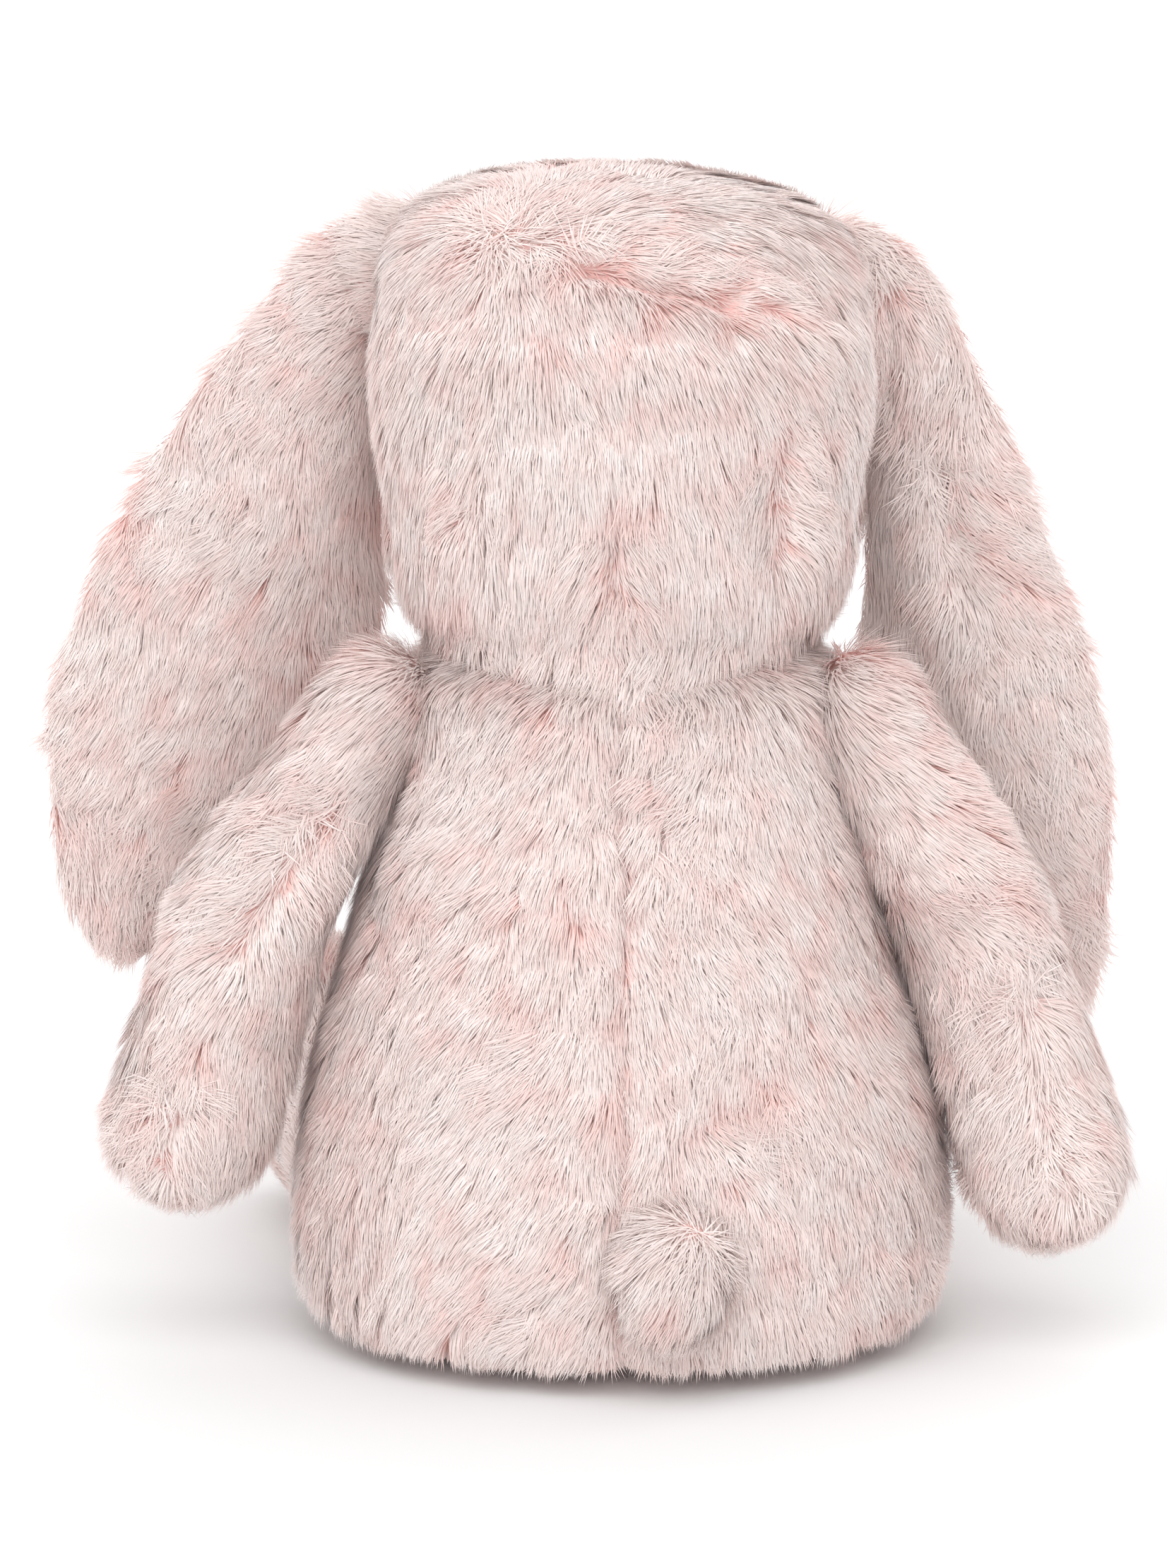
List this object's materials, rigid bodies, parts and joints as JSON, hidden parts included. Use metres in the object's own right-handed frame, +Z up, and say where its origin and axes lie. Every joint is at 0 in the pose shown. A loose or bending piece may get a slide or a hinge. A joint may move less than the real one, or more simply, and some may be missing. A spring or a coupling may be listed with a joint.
{
  "type": "stuffed bunny rabbit",
  "caption": "Seated long-pile plush bunny with a flat weighted base, floppy hanging ears, stuffed arms and legs that swing, and a small flat tail.",
  "frame": {"origin": "middle of the flat underside that the toy sits on", "axes": "+Z up, the bunny faces -Y, its own left side is +X"},
  "size_m": [0.1971, 0.167, 0.2127],
  "materials": {
    "plush": "long soft pile",
    "ear_lining": "short soft pile",
    "sole_velour": "short velour",
    "nose_velour": "short velour",
    "thread": "embroidery thread",
    "fill": "fibre fill",
    "pouch_cloth": "plain woven",
    "eye": "polished",
    "washer": "moulded"
  },
  "bodies": {
    "torso": {"torso_back_left": "plush", "torso_back_right": "plush", "torso_front": "plush", "base_panel": "plush", "torso_stuffing": "fill", "bead_pouch": "pouch_cloth", "tail_cover": "plush", "tail_stuffing": "fill"},
    "head": {"head_back": "plush", "head_crown": "plush", "face_left": "plush", "face_right": "plush", "head_stuffing": "fill", "neck_plug": "fill", "eye_left": "eye", "eye_right": "eye", "eye_washer_left": "washer", "eye_washer_right": "washer", "nose": "nose_velour", "mouth_stitches": "thread"},
    "ear_left": {"ear_left_back": "plush", "ear_left_lining": "ear_lining"},
    "ear_right": {"ear_right_back": "plush", "ear_right_lining": "ear_lining"},
    "arm_left": {"arm_left_back": "plush", "arm_left_front": "plush", "arm_left_stuffing": "fill"},
    "arm_right": {"arm_right_back": "plush", "arm_right_front": "plush", "arm_right_stuffing": "fill"},
    "leg_left": {"leg_left_outer": "plush", "leg_left_inner": "plush", "foot_left_pad": "sole_velour", "leg_left_stuffing": "fill"},
    "leg_right": {"leg_right_outer": "plush", "leg_right_inner": "plush", "foot_right_pad": "sole_velour", "leg_right_stuffing": "fill"}
  },
  "joints": [
    {"name": "neck_nod", "type": "hinge", "parent": "torso", "child": "head", "pos_m": [0, -0.004, 0.126], "axis": [1, 0, 0], "range_deg": [-12, 12], "stiffness_Nm_per_rad": 0.15},
    {"name": "ear_left_lift", "type": "hinge", "parent": "head", "child": "ear_left", "pos_m": [0.042, -0.02, 0.19], "axis": [0, -0.9943, 0.1063], "range_deg": [0, 100]},
    {"name": "ear_right_lift", "type": "hinge", "parent": "head", "child": "ear_right", "pos_m": [-0.044, -0.02, 0.184], "axis": [0, 0.9943, -0.1063], "range_deg": [0, 100]},
    {"name": "arm_left_lift", "type": "hinge", "parent": "torso", "child": "arm_left", "pos_m": [0.042, 0.009, 0.114], "axis": [0, -1, 0], "range_deg": [0, 95]},
    {"name": "arm_right_lift", "type": "hinge", "parent": "torso", "child": "arm_right", "pos_m": [-0.042, 0.009, 0.113], "axis": [0, 1, 0], "range_deg": [0, 95]},
    {"name": "leg_left_swing", "type": "hinge", "parent": "torso", "child": "leg_left", "pos_m": [0.046, -0.044, 0.018], "axis": [-1, 0, 0], "range_deg": [-75, 40]},
    {"name": "leg_right_swing", "type": "hinge", "parent": "torso", "child": "leg_right", "pos_m": [-0.042, -0.044, 0.018], "axis": [-1, 0, 0], "range_deg": [-75, 40]}
  ]
}
